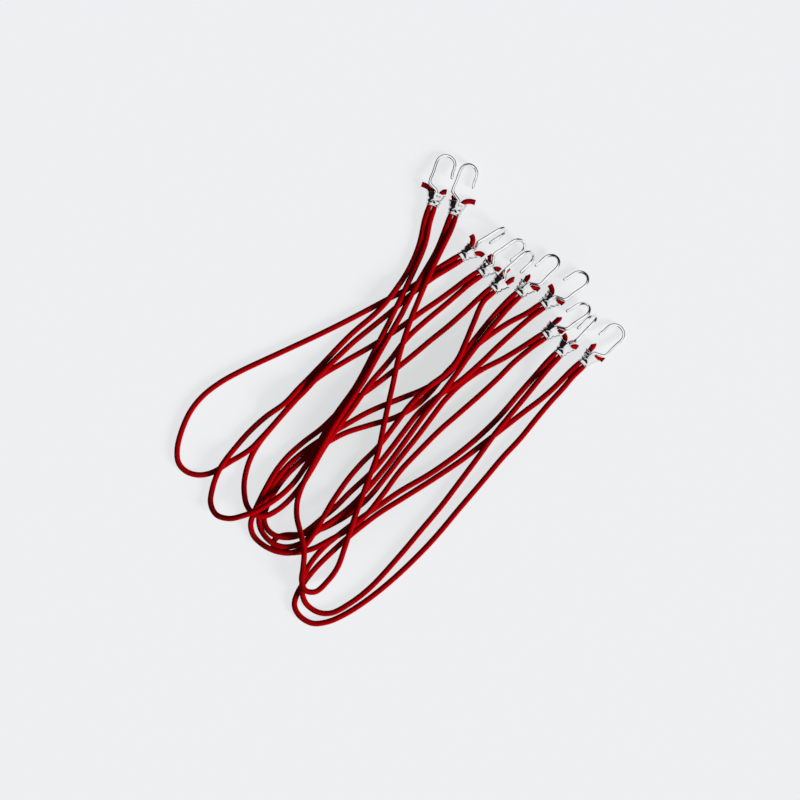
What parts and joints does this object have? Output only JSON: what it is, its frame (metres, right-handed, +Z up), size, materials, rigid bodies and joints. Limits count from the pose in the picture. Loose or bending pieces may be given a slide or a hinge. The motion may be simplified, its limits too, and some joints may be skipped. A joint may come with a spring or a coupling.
{
  "type": "hooked bungee loop set",
  "caption": "Heap of elastic cord loops, each with both ends crimped in a flared steel ferrule that grips a bent wire hook; the loops stretch to tie things down.",
  "frame": {"origin": "on the floor, in the middle of the heap's footprint", "axes": "+Z up from the floor, +X to the right and +Y away from the viewer as in the picture"},
  "size_m": [0.3606, 0.3788, 0.0189],
  "materials": {
    "elastic_cord": "woven red sheath over a latex core",
    "ferrule_steel": "bright zinc plated pressed sheet",
    "hook_steel": "bright plated wire"
  },
  "bodies": {
    "cord_pile": {"cord_01": "elastic_cord", "cord_02": "elastic_cord", "cord_03": "elastic_cord", "cord_04": "elastic_cord", "cord_05": "elastic_cord", "cord_06": "elastic_cord", "cord_07": "elastic_cord", "cord_08": "elastic_cord", "cord_09": "elastic_cord", "cord_10": "elastic_cord"},
    "hook_end_01": {"ferrule_01": "ferrule_steel", "hook_01": "hook_steel", "cord_tail_left_01": "elastic_cord", "cord_tail_right_01": "elastic_cord"},
    "hook_end_02": {"ferrule_02": "ferrule_steel", "hook_02": "hook_steel", "cord_tail_left_02": "elastic_cord", "cord_tail_right_02": "elastic_cord"},
    "hook_end_03": {"ferrule_03": "ferrule_steel", "hook_03": "hook_steel", "cord_tail_left_03": "elastic_cord", "cord_tail_right_03": "elastic_cord"},
    "hook_end_04": {"ferrule_04": "ferrule_steel", "hook_04": "hook_steel", "cord_tail_left_04": "elastic_cord", "cord_tail_right_04": "elastic_cord"},
    "hook_end_05": {"ferrule_05": "ferrule_steel", "hook_05": "hook_steel", "cord_tail_left_05": "elastic_cord", "cord_tail_right_05": "elastic_cord"},
    "hook_end_06": {"ferrule_06": "ferrule_steel", "hook_06": "hook_steel", "cord_tail_left_06": "elastic_cord", "cord_tail_right_06": "elastic_cord"},
    "hook_end_07": {"ferrule_07": "ferrule_steel", "hook_07": "hook_steel", "cord_tail_left_07": "elastic_cord", "cord_tail_right_07": "elastic_cord"},
    "hook_end_08": {"ferrule_08": "ferrule_steel", "hook_08": "hook_steel", "cord_tail_left_08": "elastic_cord", "cord_tail_right_08": "elastic_cord"},
    "hook_end_09": {"ferrule_09": "ferrule_steel", "hook_09": "hook_steel", "cord_tail_left_09": "elastic_cord", "cord_tail_right_09": "elastic_cord"},
    "hook_end_10": {"ferrule_10": "ferrule_steel", "hook_10": "hook_steel", "cord_tail_left_10": "elastic_cord", "cord_tail_right_10": "elastic_cord"}
  },
  "joints": [
    {"name": "stretch_01", "type": "slide", "parent": "cord_pile", "child": "hook_end_01", "axis": [0.3067, 0.944, 0.1219], "range_m": [0, 0.15], "stiffness_N_per_m": 120, "deforming": ["cord_01"]},
    {"name": "stretch_02", "type": "slide", "parent": "cord_pile", "child": "hook_end_02", "axis": [0.3067, 0.944, 0.1219], "range_m": [0, 0.15], "stiffness_N_per_m": 120, "deforming": ["cord_02"]},
    {"name": "stretch_03", "type": "slide", "parent": "cord_pile", "child": "hook_end_03", "axis": [0.7603, 0.638, 0.1219], "range_m": [0, 0.15], "stiffness_N_per_m": 120, "deforming": ["cord_03"]},
    {"name": "stretch_04", "type": "slide", "parent": "cord_pile", "child": "hook_end_04", "axis": [0.7603, 0.638, 0.1219], "range_m": [0, 0.15], "stiffness_N_per_m": 120, "deforming": ["cord_04"]},
    {"name": "stretch_05", "type": "slide", "parent": "cord_pile", "child": "hook_end_05", "axis": [0.7603, 0.638, 0.1219], "range_m": [0, 0.15], "stiffness_N_per_m": 120, "deforming": ["cord_05"]},
    {"name": "stretch_06", "type": "slide", "parent": "cord_pile", "child": "hook_end_06", "axis": [0.7603, 0.638, 0.1219], "range_m": [0, 0.15], "stiffness_N_per_m": 120, "deforming": ["cord_06"]},
    {"name": "stretch_07", "type": "slide", "parent": "cord_pile", "child": "hook_end_07", "axis": [0.7603, 0.638, 0.1219], "range_m": [0, 0.15], "stiffness_N_per_m": 120, "deforming": ["cord_07"]},
    {"name": "stretch_08", "type": "slide", "parent": "cord_pile", "child": "hook_end_08", "axis": [0.7603, 0.638, 0.1219], "range_m": [0, 0.15], "stiffness_N_per_m": 120, "deforming": ["cord_08"]},
    {"name": "stretch_09", "type": "slide", "parent": "cord_pile", "child": "hook_end_09", "axis": [0.7642, 0.6412, 0.0698], "range_m": [0, 0.15], "stiffness_N_per_m": 120, "deforming": ["cord_09"]},
    {"name": "stretch_10", "type": "slide", "parent": "cord_pile", "child": "hook_end_10", "axis": [0.7603, 0.638, 0.1219], "range_m": [0, 0.15], "stiffness_N_per_m": 120, "deforming": ["cord_10"]}
  ]
}
